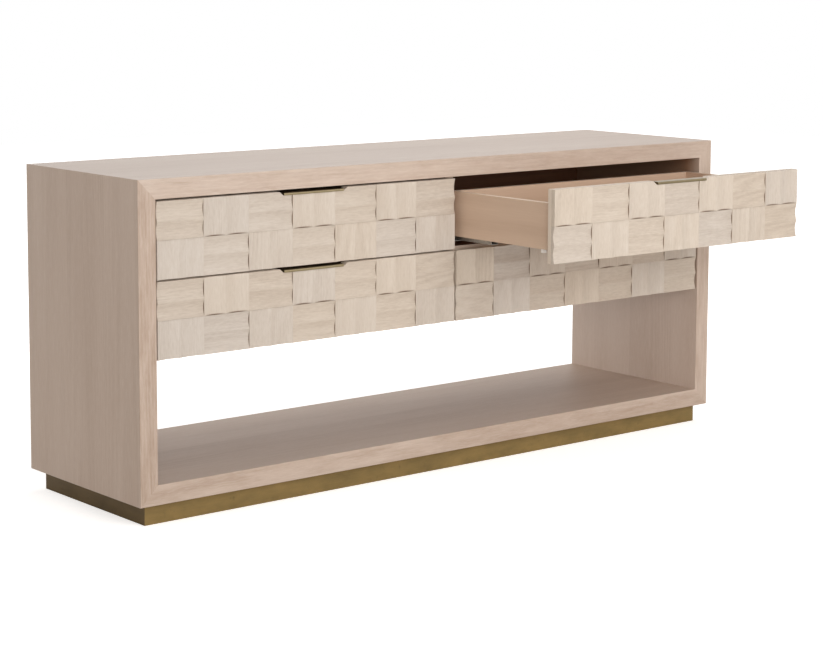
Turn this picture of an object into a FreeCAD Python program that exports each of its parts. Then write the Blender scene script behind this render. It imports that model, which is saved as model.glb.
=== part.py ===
import FreeCAD
import Part
import Sketcher
import os
import re

# A long low chest of drawers in limed oak: a thick mitred frame on a recessed brass plinth, with four
# drawers in two rows over an open shelf. Each front is a board faced with fluted blocks, and the grain
# crosses from one block to the next. Millimetres, +Z up. The origin is on the floor under the middle of
# the plinth, and -Y is the front.

SIZES = {
    # Case frame
    "case_width": 1800,
    "case_depth": 480,
    "case_height": 765,
    "case_wall": 45,
    "case_arris": 1.5,
    # Plinth
    "plinth_height": 48,
    "plinth_inset": 25,
    "plinth_rail": 20,
    "plinth_sheet": 1.5,
    # Joinery
    "spline_thick": 6,
    "spline_width": 24,
    "spline_stop": 40,
    "housing_depth": 6,
    "joint_fit": 0.1,
    # Carcass inside the frame
    "partition_thick": 20,
    "deck_thick": 15,
    "dust_thick": 18,
    "dust_rise": 4,
    "carcass_setback": 2,
    "back_thick": 8,
    "back_inset": 4,
    "relief_width": 210,
    "relief_depth": 30,
    # Drawer fronts
    "front_height": 172.5,
    "front_side_gap": 4,
    "front_centre_gap": 6,
    "front_top_gap": 4.5,
    "front_row_gap": 3.4,
    "front_recess": 2,
    "board_thick": 10,
    "block_thick": 12,
    "block_joint": 0.6,
    "flute_depth": 4.5,
    "flute_land": 1,
    # Finger pulls
    "notch_top": 194,
    "notch_floor": 170,
    "notch_depth": 8.8,
    "pull_thick": 6,
    "pull_rise": 0.8,
    "pull_flange": 18,
    "pull_flange_thick": 2,
    "pull_round": 3.5,
    # Drawer boxes
    "box_rise": 29,
    "box_height": 109,
    "box_length": 362,
    "box_wall": 14,
    "box_side_gap": 5,
    "bottom_rise": 13,
    "bottom_thick": 6,
    "groove_depth": 6.5,
    "groove_fit": 0.2,
    "rebate_depth": 5,
    # Runners
    "rail_steel": 1.2,
    "rail_gap": 0.3,
    "rail_width": 24,
    "rail_leg": 15,
    "rail_drop": 13,
    "rail_short": 62,
    "cabinet_over": 3,
    "cabinet_web": 33,
    "cabinet_lip": 9,
    "clip_length": 40,
    "clip_depth": 15,
    "clip_lever": 10,
    "clip_lever_width": 8,
    "clip_lever_set": 26,
    "clip_lever_drop": 11,
    "clip_gap": 0.3,
    # Screws that hold each front to its box
    "screw_diameter": 4.5,
    "screw_head": 9,
    "screw_length": 20,
    "screw_end_gap": 180,
    # How far the photographed drawer stands open
    "open_drawer_out": 342,
}

BLOCK_COLUMNS = 7
BLOCK_ROWS = 2
FLUTES = 2

doc = FreeCAD.newDocument("chest_of_drawers")
sheet = doc.addObject("Spreadsheet::Sheet", "Sizes")
for row, (name, value) in enumerate(SIZES.items(), start=1):
    sheet.set(f"A{row}", name)
    sheet.set(f"B{row}", str(value))
    sheet.setAlias(f"B{row}", name)
doc.recompute()

# Places that several pieces share, as expressions over the sizes
HALF_WIDTH = "(case_width / 2)"
HALF_DEPTH = "(case_depth / 2)"
HALF_OPENING = "(case_width / 2 - case_wall)"
INSIDE_TOP = "(case_height - case_wall)"
SHELF_TOP = "(plinth_height + case_wall)"
FRONT_PLANE = "(front_recess - case_depth / 2)"
FRONT_THICK = "(block_thick + board_thick)"
CARCASS_FRONT = f"({FRONT_PLANE} + {FRONT_THICK} + carcass_setback)"
BACK_FACE = "(case_depth / 2 - back_inset - back_thick)"
CARCASS_DEPTH = f"({BACK_FACE} - {CARCASS_FRONT})"
FRONT_WIDTH = f"({HALF_OPENING} - front_side_gap - front_centre_gap / 2)"
UPPER_ROW = f"({INSIDE_TOP} - front_top_gap - front_height)"
LOWER_ROW = f"({UPPER_ROW} - front_row_gap - front_height)"
DECK_TOP = f"({LOWER_ROW} + box_rise - rail_drop)"
DECK_BOTTOM = f"({DECK_TOP} - deck_thick)"
DUST_TOP = f"({UPPER_ROW} + dust_rise)"
NOTCH_Z = "(front_height - notch_depth)"
BOX_WIDTH = f"({HALF_OPENING} - partition_thick / 2 - 2 * box_side_gap)"
BOX_END = f"({FRONT_THICK} + box_length)"
BOTTOM_Z = "(box_rise + bottom_rise)"

# The left end of each column's fronts, and of its drawer boxes
FRONT_LEFT = {"left": f"(front_side_gap - {HALF_OPENING})", "right": "(front_centre_gap / 2)"}
BOX_LEFT = {"left": f"(box_side_gap - {HALF_OPENING})", "right": "(partition_thick / 2 + box_side_gap)"}
ROW_Z = {"upper": UPPER_ROW, "lower": LOWER_ROW}

X_AXIS = FreeCAD.Vector(1, 0, 0)
QUARTER_TURN = 90


def cells(text):
    """The expression with each size's name made a reference to its cell."""
    return re.sub(r"[a-z]\w+", lambda word: "Sizes." * (word.group() in SIZES) + word.group(), text)


def number(text):
    """The expression's value now."""
    return float(sheet.evalExpression(cells(text)))


def bind(thing, **sizes):
    """Binds properties of the thing to expressions."""
    for name, text in sizes.items():
        thing.setExpression(name, cells(text))


def place(thing, x="0", y="0", z="0", turn=None):
    """Binds the thing's position to expressions, after an optional turn given as an axis and an angle."""
    if turn:
        thing.Placement = FreeCAD.Placement(FreeCAD.Vector(), FreeCAD.Rotation(*turn))
    for axis, text in zip("xyz", (x, y, z)):
        thing.setExpression(f"Placement.Base.{axis}", cells(text))
    return thing


def box(label, size, corner):
    """A square-edged board from its corner of least x, y and z."""
    board = doc.addObject("Part::Box", label)
    bind(board, Length=size[0], Width=size[1], Height=size[2])
    return place(board, *corner)


def group(label, members):
    """Separate solids kept together as one sub-part."""
    compound = doc.addObject("Part::Compound", label)
    compound.Links = members
    return compound


def cut(label, base, tools):
    """The base with all the tools taken out of it."""
    result = doc.addObject("Part::Cut", label)
    result.Base = base
    result.Tool = group(f"{label}_cutters", tools)
    return result


def copy(source, x, y, z, turn=None):
    """One more of the source, at its own place."""
    link = doc.addObject("App::Link", f"{source.Name}_copy")
    link.LinkedObject = source
    return place(link, x, y, z, turn)


def placed(label, members, x="0", y="0", z="0"):
    """The members as one sub-part, moved together."""
    return place(group(label, members), x, y, z)


def origin_plane(body, role):
    return next(plane for plane in body.Origin.OriginFeatures if plane.Role == role)


def outline(body, name, role, corners, hollows=None):
    """A closed outline on one of the body's planes. Each corner is two expressions from the origin. Hollows
    maps a side's number to the radius and sag of the arc that takes its place, on the side's left."""
    hollows = hollows or {}
    sketch = body.newObject("Sketcher::SketchObject", name)
    sketch.AttachmentSupport = [(origin_plane(body, role), "")]
    sketch.MapMode = "FlatFace"
    points = [FreeCAD.Vector(number(x), number(y), 0) for x, y in corners]
    ends = []
    for side, start in enumerate(points):
        stop = points[(side + 1) % len(points)]
        if side in hollows:
            along = (stop - start).normalize()
            middle = (start + stop) / 2 + FreeCAD.Vector(-along.y, along.x, 0) * number(hollows[side][1])
            index = sketch.addGeometry(Part.Arc(start, middle, stop), False)
            radius = sketch.addConstraint(Sketcher.Constraint("Radius", index, number(hollows[side][0])))
            sketch.setExpression(f"Constraints[{radius}]", cells(hollows[side][0]))
        else:
            index = sketch.addGeometry(Part.LineSegment(start, stop), False)
        first, last = sketch.getPoint(index, 1), sketch.getPoint(index, 2)
        forward = first.distanceToPoint(start) < last.distanceToPoint(start)
        ends.append((1, 2) if forward else (2, 1))
    for side, corner in enumerate(corners):
        before = side - 1 if side else len(corners) - 1
        sketch.addConstraint(Sketcher.Constraint("Coincident", before, ends[before][1], side, ends[side][0]))
        for kind, text in zip(("DistanceX", "DistanceY"), corner):
            index = sketch.addConstraint(Sketcher.Constraint(kind, -1, 1, side, ends[side][0], number(text)))
            sketch.setExpression(f"Constraints[{index}]", cells(text))
    return sketch


def profile(label, role, corners, length, hollows=None, centred=False, backwards=False):
    """A body with one outline carried along its length."""
    body = doc.addObject("PartDesign::Body", label)
    sketch = outline(body, f"{label}_outline", role, corners, hollows)
    pad = body.newObject("PartDesign::Pad", f"{label}_pad")
    pad.Profile = sketch
    pad.Midplane = centred
    pad.Reversed = backwards
    bind(pad, Length=length)
    return body


def turned(label, corners):
    """A body turned about its Z axis from a half outline in X and Z."""
    body = doc.addObject("PartDesign::Body", label)
    sketch = outline(body, f"{label}_outline", "XZ_Plane", corners)
    revolution = body.newObject("PartDesign::Revolution", f"{label}_turning")
    revolution.Profile = sketch
    revolution.ReferenceAxis = (sketch, ["V_Axis"])
    revolution.Angle = 360
    return body


def rounded(body, radius, chosen):
    """Rounds the body's edges that the test chooses."""
    doc.recompute()
    base = body.Tip
    names = [f"Edge{n}" for n, edge in enumerate(base.Shape.Edges, start=1) if chosen(edge)]
    fillet = body.newObject("PartDesign::Fillet", f"{body.Name}_rounding")
    fillet.Base = (base, names)
    bind(fillet, Radius=radius)
    return body


nodes = []


def node(sub_part):
    """Lists a finished sub-part to be written."""
    nodes.append(sub_part)
    return sub_part


# Splines across the four mitres, stopped short of the front and back, and their grooves
splines = []
spline_grooves = []
for side_sign in (-1, 1):
    for height_sign, level in ((1, "(case_height - case_wall / 2)"), (-1, "(plinth_height + case_wall / 2)")):
        slant = -side_sign * height_sign
        centre_x = f"(({HALF_WIDTH} - case_wall / 2) * {side_sign})"
        for name, made, fit in (("spline", splines, "0"), ("groove", spline_grooves, "joint_fit")):
            half_wide = f"((spline_width / 2 + {fit}) / sqrt(2))"
            half_thick = f"((spline_thick / 2 + {fit}) / sqrt(2))"
            corners = []
            for wide, thick in ((-1, -1), (1, -1), (1, 1), (-1, 1)):
                corner_x = f"{centre_x} + {half_wide} * {wide} + {half_thick} * {thick}"
                corner_z = f"{level} + ({half_wide} * {wide} - {half_thick} * {thick}) * {slant}"
                corners.append((corner_x, corner_z))
            length = f"case_depth - 2 * spline_stop + 2 * {fit}"
            made.append(profile(f"{name}_{len(made)}", "XZ_Plane", corners, length, centred=True))
node(group("corner_splines", splines))

# Housings: each carcass board's ends are let into grooves in its neighbours, grown by the fit
LET_IN = "(housing_depth - joint_fit)"


def housed(label, size, corner):
    """A board, and the cutter for the grooves that take its ends: the board grown by the fit all round."""
    board = box(f"{label}_blank", size, corner)
    grown = [f"{extent} + 2 * joint_fit" for extent in size]
    start = [f"{position} - joint_fit" for position in corner]
    return board, box(f"{label}_housing", grown, start)


LEFT_IN = f"(0 - {HALF_OPENING})"
deck_size = (f"2 * ({HALF_OPENING} + {LET_IN})", CARCASS_DEPTH, "deck_thick")
deck, deck_housing = housed("drawer_deck", deck_size, (f"{LEFT_IN} - {LET_IN}", CARCASS_FRONT, DECK_BOTTOM))

partition_size = ("partition_thick", CARCASS_DEPTH, f"{INSIDE_TOP} - {DECK_TOP} + 2 * {LET_IN}")
partition_corner = ("0 - partition_thick / 2", CARCASS_FRONT, f"{DECK_TOP} - {LET_IN}")
partition, partition_housing = housed("centre_partition", partition_size, partition_corner)

dust_size = (f"{HALF_OPENING} - partition_thick / 2 + 2 * {LET_IN}", CARCASS_DEPTH, "dust_thick")
dust_boards = {}
dust_housings = []
for column, dust_left in (("left", LEFT_IN), ("right", "partition_thick / 2")):
    dust_corner = (f"{dust_left} - {LET_IN}", CARCASS_FRONT, f"{DUST_TOP} - dust_thick")
    dust_boards[column], dust_housing = housed(f"{column}_dust_panel", dust_size, dust_corner)
    dust_housings.append(dust_housing)

back_size = (f"2 * ({HALF_OPENING} + {LET_IN})", "back_thick", f"{INSIDE_TOP} + {LET_IN} - {DECK_BOTTOM}")
back_corner = (f"{LEFT_IN} - {LET_IN}", BACK_FACE, DECK_BOTTOM)
back, back_housing = housed("back_panel", back_size, back_corner)

# Case frame: top, sides and base mitred into one another, with eased front and back arrises
LEFT_OUT = f"(0 - {HALF_WIDTH})"
OUTER_TOP = [(LEFT_OUT, "case_height"), (HALF_WIDTH, "case_height")]
INNER_TOP = [(LEFT_IN, INSIDE_TOP), (HALF_OPENING, INSIDE_TOP)]
OUTER_BASE = [(LEFT_OUT, "plinth_height"), (HALF_WIDTH, "plinth_height")]
INNER_BASE = [(LEFT_IN, SHELF_TOP), (HALF_OPENING, SHELF_TOP)]
FRAME_PANELS = {
    "top_panel": [OUTER_TOP[0], INNER_TOP[0], INNER_TOP[1], OUTER_TOP[1]],
    "left_side_panel": [OUTER_BASE[0], INNER_BASE[0], INNER_TOP[0], OUTER_TOP[0]],
    "right_side_panel": [OUTER_BASE[1], OUTER_TOP[1], INNER_TOP[1], INNER_BASE[1]],
    "base_shelf": [OUTER_BASE[0], OUTER_BASE[1], INNER_BASE[1], INNER_BASE[0]],
}


def long_front_or_back_edge(edge):
    """Whether the edge runs along the panel at the case's front or back, leaving out the mitres."""
    box_round = edge.BoundBox
    on_face = box_round.YLength < 1e-6 and abs(abs(box_round.YMin) - number(HALF_DEPTH)) < 1e-6
    return on_face and min(box_round.XLength, box_round.ZLength) < 1e-6


for label, corners in FRAME_PANELS.items():
    panel = profile(f"{label}_blank", "XZ_Plane", corners, "case_depth", centred=True)
    rounded(panel, "case_arris", long_front_or_back_edge)
    housings = [deck_housing, partition_housing, back_housing] + dust_housings
    node(cut(label, panel, spline_grooves + housings))

# Carcass boards inside the frame, the dust panels with a finger relief behind each lower pull
node(cut("drawer_deck", deck, [partition_housing]))
node(cut("centre_partition", partition, dust_housings))
node(placed("back_panel", [back]))
for column, dust in dust_boards.items():
    relief_left = f"{FRONT_LEFT[column]} + ({FRONT_WIDTH} - relief_width) / 2"
    relief_corner = (relief_left, f"{CARCASS_FRONT} - relief_depth", f"{DUST_TOP} - 2 * dust_thick")
    relief_size = ("relief_width", "2 * relief_depth", "3 * dust_thick")
    relief = box(f"{column}_finger_relief", relief_size, relief_corner)
    node(cut(f"{column}_dust_panel", dust, [relief]))

# Plinth: softwood rails faced with four strips of brass sheet, mitred at the corners
CLAD_X = f"({HALF_WIDTH} - plinth_inset)"
CLAD_Y = f"({HALF_DEPTH} - plinth_inset)"
CORE_X = f"({CLAD_X} - plinth_sheet)"
CORE_Y = f"({CLAD_Y} - plinth_sheet)"
CORNER_SIGNS = ((-1, -1), (1, -1), (1, 1), (-1, 1))
outer_ring = [(f"{CLAD_X} * {across}", f"{CLAD_Y} * {back}") for across, back in CORNER_SIGNS]
inner_ring = [(f"{CORE_X} * {across}", f"{CORE_Y} * {back}") for across, back in CORNER_SIGNS]
strips = []
for side, start in enumerate(outer_ring):
    after = (side + 1) % len(outer_ring)
    corners = [start, outer_ring[after], inner_ring[after], inner_ring[side]]
    strips.append(profile(f"plinth_strip_{side}", "XY_Plane", corners, "plinth_height"))
node(group("plinth_cladding", strips))
long_size = (f"2 * {CORE_X}", "plinth_rail", "plinth_height")
node(placed("plinth_front_rail", [box("plinth_front", long_size, (f"0 - {CORE_X}", f"0 - {CORE_Y}", "0"))]))
rear_corner = (f"0 - {CORE_X}", f"{CORE_Y} - plinth_rail", "0")
node(placed("plinth_rear_rail", [box("plinth_rear", long_size, rear_corner)]))
short_size = ("plinth_rail", f"2 * ({CORE_Y} - plinth_rail)", "plinth_height")
SHORT_RAILS = {"left": f"0 - {CORE_X}", "middle": "0 - plinth_rail / 2", "right": f"{CORE_X} - plinth_rail"}
short_rails = [
    box(f"plinth_{spot}_rail", short_size, (rail_x, f"plinth_rail - {CORE_Y}", "0"))
    for spot, rail_x in SHORT_RAILS.items()
]
node(group("plinth_cross_rails", short_rails))

# Fluted blocks: two hollows side by side, with narrow lands at the edges and between them
BLOCK_WIDTH = f"({FRONT_WIDTH} / {BLOCK_COLUMNS} - block_joint)"
BLOCK_HEIGHT = f"(front_height / {BLOCK_ROWS} - block_joint)"


def fluted_block(label, role, across, length):
    """A block whose flutes run along its length: one direction of the outline is the block's thickness from
    its crests back, the other runs across the flutes."""
    chord = f"(({across} - flute_land * {FLUTES + 1}) / {FLUTES})"
    radius = f"(({chord} * {chord} / 4 + flute_depth * flute_depth) / (2 * flute_depth))"
    corners = [("block_thick", "0"), ("block_thick", across)]
    hollows = {}
    for flute in reversed(range(FLUTES)):
        low = f"(flute_land + ({chord} + flute_land) * {flute})"
        if flute == FLUTES - 1:
            corners.append(("0", across))
        hollows[len(corners)] = (radius, "flute_depth")
        corners.append(("0", f"({low} + {chord})"))
        corners.append(("0", low))
    corners.append(("0", "0"))
    if role == "XY_Plane":
        corners = [(y, x) for x, y in corners]
        hollows = {side: (radius, "0 - flute_depth") for side in hollows}
    return profile(label, role, corners, length, hollows)


level_block = fluted_block("level_grain_block", "YZ_Plane", BLOCK_HEIGHT, BLOCK_WIDTH)
upright_block = fluted_block("upright_grain_block", "XY_Plane", BLOCK_WIDTH, BLOCK_HEIGHT)

# The notch for the finger pull, cut through board and blocks alike
MIDDLE = f"({FRONT_WIDTH} / 2)"
notch_corners = [
    (f"{MIDDLE} - notch_floor / 2", NOTCH_Z),
    (f"{MIDDLE} + notch_floor / 2", NOTCH_Z),
    (f"{MIDDLE} + notch_top / 2", "front_height"),
    (f"{MIDDLE} + notch_top / 2", "front_height + notch_depth"),
    (f"{MIDDLE} - notch_top / 2", "front_height + notch_depth"),
    (f"{MIDDLE} - notch_top / 2", "front_height"),
]
notch = profile("pull_notch", "XZ_Plane", notch_corners, f"4 * {FRONT_THICK}", centred=True)

# Finger pull: a brass strip on the notch's floor, rising a little and folded down behind the board
PULL_BACK = f"({FRONT_THICK} + pull_flange_thick)"
pull_corners = [
    ("0", NOTCH_Z),
    (FRONT_THICK, NOTCH_Z),
    (FRONT_THICK, f"{NOTCH_Z} - pull_flange"),
    (PULL_BACK, f"{NOTCH_Z} - pull_flange"),
    (PULL_BACK, f"{NOTCH_Z} + pull_thick + pull_rise"),
    ("0", f"{NOTCH_Z} + pull_thick"),
]
pull_strip = profile("pull_strip", "YZ_Plane", pull_corners, "notch_floor")


def upper_pull_edge(edge):
    """Whether the edge runs along the strip's upper front or upper back."""
    box_round = edge.BoundBox
    return box_round.XLength > number("notch_floor") / 2 and box_round.ZMin > number(NOTCH_Z) + 1e-6


rounded(pull_strip, "pull_round", upper_pull_edge)
pull = place(pull_strip, f"{MIDDLE} - notch_floor / 2")

# Drawer box, in its own frame: x from its left face, y from the front's crests, z from the front's foot
BOX_TOP = "(box_rise + box_height)"
GROOVE_IN = "(box_wall - groove_depth)"
REBATE_IN = "(box_wall - rebate_depth)"
groove_size = (f"{BOX_WIDTH} - 2 * {GROOVE_IN}", "box_length", "bottom_thick + groove_fit")
groove_corner = (GROOVE_IN, f"{FRONT_THICK} + box_wall - groove_depth", BOTTOM_Z)
bottom_groove = box("bottom_groove", groove_size, groove_corner)
through_size = (groove_size[0], "2 * box_length", groove_size[2])
side_groove = box("side_groove", through_size, (GROOVE_IN, "0", BOTTOM_Z))
end_size = (f"{BOX_WIDTH} - 2 * {REBATE_IN}", "box_wall", "2 * box_height")
front_rebate = box("front_rebate", end_size, (REBATE_IN, FRONT_THICK, "0"))
back_rebate = box("back_rebate", end_size, (REBATE_IN, f"{BOX_END} - box_wall", "0"))
side_size = ("box_wall", "box_length", "box_height")
box_sides = []
for side_name, side_x in (("left", "0"), ("right", f"{BOX_WIDTH} - box_wall")):
    side_blank = box(f"{side_name}_box_side_blank", side_size, (side_x, FRONT_THICK, "box_rise"))
    box_sides.append(cut(f"{side_name}_box_side", side_blank, [side_groove, front_rebate, back_rebate]))


def screw(label, fit):
    """A countersunk screw with its tip at the origin and its head up, thicker all round by the fit."""
    shank = f"(screw_diameter / 2 + {fit})"
    head = f"(screw_head / 2 + {fit})"
    neck = f"(screw_length - {head} + {shank})"
    half = [("0", "0"), (shank, "0"), (shank, neck), (head, "screw_length"), ("0", "screw_length")]
    return turned(label, half)


END_LEFT = f"({REBATE_IN} + joint_fit)"
END_LENGTH = f"({BOX_WIDTH} - 2 * {END_LEFT})"
front_screw = screw("front_screw", "0")
front_screw_bore = screw("front_screw_bore", "joint_fit")
front_screws = []
front_screw_bores = []
for screw_x in ("screw_end_gap", f"({BOX_WIDTH} - screw_end_gap)"):
    spot = (screw_x, f"({FRONT_THICK} + box_wall - screw_length)", "(box_rise + box_height / 2)")
    front_screws.append(copy(front_screw, *spot, (X_AXIS, -QUARTER_TURN)))
    front_screw_bores.append(copy(front_screw_bore, *spot, (X_AXIS, -QUARTER_TURN)))
front_end_size = (END_LENGTH, "box_wall", "box_height")
inner_front = box("box_front_blank", front_end_size, (END_LEFT, FRONT_THICK, "box_rise"))
box_front = cut("box_front", inner_front, [bottom_groove] + front_screw_bores)
BACK_LOW = f"({BOTTOM_Z} + bottom_thick)"
back_end_size = (END_LENGTH, "box_wall", f"{BOX_TOP} - {BACK_LOW}")
box_back = box("box_back", back_end_size, (END_LEFT, f"{BOX_END} - box_wall", BACK_LOW))
bottom_left = f"({GROOVE_IN} + groove_fit)"
bottom_front = f"({FRONT_THICK} + box_wall - groove_depth + groove_fit)"
bottom_size = (f"{BOX_WIDTH} - 2 * {bottom_left}", f"{BOX_END} - {bottom_front}", "bottom_thick")
box_bottom = box("box_bottom", bottom_size, (bottom_left, bottom_front, BOTTOM_Z))

# Runners, sections in x and z: the drawer member caps the middle one, which stands in the cabinet member
RAIL_LEFT = "(box_wall + rail_gap)"
RAIL_RIGHT = f"({RAIL_LEFT} + rail_width)"
RAIL_FOOT = f"({BOTTOM_Z} - rail_leg)"
drawer_section = [
    (RAIL_LEFT, RAIL_FOOT),
    (f"{RAIL_LEFT} + rail_steel", RAIL_FOOT),
    (f"{RAIL_LEFT} + rail_steel", f"{BOTTOM_Z} - rail_steel"),
    (f"{RAIL_RIGHT} - rail_steel", f"{BOTTOM_Z} - rail_steel"),
    (f"{RAIL_RIGHT} - rail_steel", RAIL_FOOT),
    (RAIL_RIGHT, RAIL_FOOT),
    (RAIL_RIGHT, BOTTOM_Z),
    (RAIL_LEFT, BOTTOM_Z),
]
MIDDLE_LEFT = f"({RAIL_LEFT} + rail_steel + rail_gap)"
MIDDLE_RIGHT = f"({RAIL_RIGHT} - rail_steel - rail_gap)"
MIDDLE_TOP = f"({BOTTOM_Z} - rail_steel - rail_gap)"
CABINET_FOOT = "(box_rise - rail_drop)"
CABINET_FLOOR = f"({CABINET_FOOT} + rail_steel)"
MIDDLE_FOOT = f"({CABINET_FLOOR} + rail_gap)"
middle_section = [
    (MIDDLE_LEFT, MIDDLE_FOOT),
    (MIDDLE_RIGHT, MIDDLE_FOOT),
    (MIDDLE_RIGHT, MIDDLE_TOP),
    (f"{MIDDLE_RIGHT} - rail_steel", MIDDLE_TOP),
    (f"{MIDDLE_RIGHT} - rail_steel", f"{MIDDLE_FOOT} + rail_steel"),
    (f"{MIDDLE_LEFT} + rail_steel", f"{MIDDLE_FOOT} + rail_steel"),
    (f"{MIDDLE_LEFT} + rail_steel", MIDDLE_TOP),
    (MIDDLE_LEFT, MIDDLE_TOP),
]
WALL_FACE = "(0 - box_side_gap)"
WEB_FACE = f"({WALL_FACE} + rail_steel)"
LIP_LEFT = f"({RAIL_RIGHT} + rail_gap)"
cabinet_section = [
    (WALL_FACE, CABINET_FOOT),
    (f"{LIP_LEFT} + rail_steel", CABINET_FOOT),
    (f"{LIP_LEFT} + rail_steel", f"{CABINET_FOOT} + cabinet_lip"),
    (LIP_LEFT, f"{CABINET_FOOT} + cabinet_lip"),
    (LIP_LEFT, CABINET_FLOOR),
    (WEB_FACE, CABINET_FLOOR),
    (WEB_FACE, f"{CABINET_FOOT} + cabinet_web"),
    (WALL_FACE, f"{CABINET_FOOT} + cabinet_web"),
]
CLIP_START = f"({FRONT_THICK} + box_wall + clip_gap)"
CLIP_END = f"({CLIP_START} + clip_length)"
RAIL_START = f"({CLIP_END} + clip_gap)"
RAIL_LENGTH = "(box_length - rail_short)"
CABINET_START = f"({FRONT_THICK} + carcass_setback)"
CABINET_LENGTH = "(box_length + cabinet_over)"


def mirrored(section):
    """The section on the box's other side."""
    return [(f"({BOX_WIDTH} - ({x}))", z) for x, z in section]


def pair_of_rails(label, section, start, length):
    """Left and right rails of one section, from their front end back."""
    pair = []
    for side_name, corners in (("left", section), ("right", mirrored(section))):
        rail = profile(f"{side_name}_{label}", "XZ_Plane", corners, length, backwards=True)
        pair.append(place(rail, y=start))
    return pair


drawer_rails = pair_of_rails("drawer_rail", drawer_section, RAIL_START, RAIL_LENGTH)
middle_rails = pair_of_rails("middle_rail", middle_section, f"{RAIL_START} + clip_gap", RAIL_LENGTH)
cabinet_rails = pair_of_rails("cabinet_rail", cabinet_section, CABINET_START, CABINET_LENGTH)

# Front clips: plastic blocks under the drawer bottom that hold the drawer members, with a release lever
CLIP_FOOT = f"({BOTTOM_Z} - clip_depth)"
LEVER_START = f"({CLIP_START} + clip_lever_set)"
LEVER_FOOT = "(box_rise - clip_lever_drop)"
clip_corners = [
    (CLIP_START, CLIP_FOOT),
    (LEVER_START, CLIP_FOOT),
    (LEVER_START, LEVER_FOOT),
    (f"{LEVER_START} + clip_lever", LEVER_FOOT),
    (f"{LEVER_START} + clip_lever", CLIP_FOOT),
    (CLIP_END, CLIP_FOOT),
    (CLIP_END, BOTTOM_Z),
    (CLIP_START, BOTTOM_Z),
]
RIGHT_CLIP = f"({BOX_WIDTH} - {RAIL_RIGHT})"
clips = []
for side_name, clip_x, spare_x in (
    ("left", RAIL_LEFT, f"({RAIL_LEFT} + clip_lever_width)"),
    ("right", RIGHT_CLIP, RIGHT_CLIP),
):
    block = place(profile(f"{side_name}_clip_block", "YZ_Plane", clip_corners, "rail_width"), x=clip_x)
    spare_size = ("(rail_width - clip_lever_width)", "clip_lever", f"({CLIP_FOOT} - {LEVER_FOOT})")
    spare = box(f"{side_name}_lever_spare", spare_size, (spare_x, LEVER_START, LEVER_FOOT))
    clips.append(cut(f"{side_name}_clip", block, [spare]))

# Each column's fronts: the block pattern carries on across the columns, and the screws meet their own box
boards = {}
faces = {}
for number_across, column in enumerate(FRONT_LEFT):
    blocks = []
    for across in range(BLOCK_COLUMNS):
        for up in range(BLOCK_ROWS):
            steps = number_across * BLOCK_COLUMNS + across + BLOCK_ROWS - 1 - up
            source = upright_block if steps % 2 else level_block
            block_x = f"({FRONT_WIDTH} / {BLOCK_COLUMNS} * {across} + block_joint / 2)"
            block_z = f"(front_height / {BLOCK_ROWS} * {up} + block_joint / 2)"
            blocks.append(copy(source, block_x, "0", block_z))
    faces[column] = cut(f"{column}_face", group(f"{column}_face_blocks", blocks), [notch])
    board_corner = ("0", "block_thick", "0")
    board_blank = box(f"{column}_board_blank", (FRONT_WIDTH, "board_thick", "front_height"), board_corner)
    offset = f"{BOX_LEFT[column]} - {FRONT_LEFT[column]}"
    screw_holes = placed(f"{column}_front_screw_holes", front_screw_bores, x=offset)
    boards[column] = cut(f"{column}_board", board_blank, [notch, screw_holes])

# The four drawers with their runners, one of them standing open
OPEN_DRAWER = "upper_right"
cabinet_runners = []
for level, row_z in ROW_Z.items():
    for column in FRONT_LEFT:
        drawer = f"{level}_{column}"
        out = "open_drawer_out" if drawer == OPEN_DRAWER else "0"
        front_spot = (FRONT_LEFT[column], f"{FRONT_PLANE} - {out}", row_z)
        box_spot = (BOX_LEFT[column], f"{FRONT_PLANE} - {out}", row_z)
        middle_spot = (BOX_LEFT[column], f"{FRONT_PLANE} - {out} / 2", row_z)
        closed_spot = (BOX_LEFT[column], FRONT_PLANE, row_z)
        node(placed(f"{drawer}_front_board", [boards[column]], *front_spot))
        node(placed(f"{drawer}_face_blocks", [faces[column]], *front_spot))
        node(placed(f"{drawer}_pull", [pull], *front_spot))
        node(placed(f"{drawer}_box_front", [box_front], *box_spot))
        node(placed(f"{drawer}_box_sides", box_sides, *box_spot))
        node(placed(f"{drawer}_box_back", [box_back], *box_spot))
        node(placed(f"{drawer}_box_bottom", [box_bottom], *box_spot))
        node(placed(f"{drawer}_front_screws", front_screws, *box_spot))
        node(placed(f"{drawer}_drawer_rails", drawer_rails, *box_spot))
        node(placed(f"{drawer}_clips", clips, *box_spot))
        node(placed(f"{drawer}_middle_rails", middle_rails, *middle_spot))
        cabinet_runners.append(placed(f"{drawer}_cabinet_rails", cabinet_rails, *closed_spot))
node(group("cabinet_rails", cabinet_runners))

doc.recompute()
failed = [thing.Name for thing in doc.Objects if {"Invalid", "Error"} & set(thing.State)]
failed += [part.Label for part in nodes if part.Shape.isNull() or not part.Shape.isValid()]
if failed:
    raise RuntimeError(f"not built: {failed}")
os.makedirs("parts", exist_ok=True)
for part in nodes:
    part.Shape.exportStep(f"parts/{part.Label}.step")
print(len(nodes), "sub-parts,", sum(len(part.Shape.Solids) for part in nodes), "solids")
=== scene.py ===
import math

import bpy
import numpy as np
from mathutils import Matrix, Vector


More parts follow.
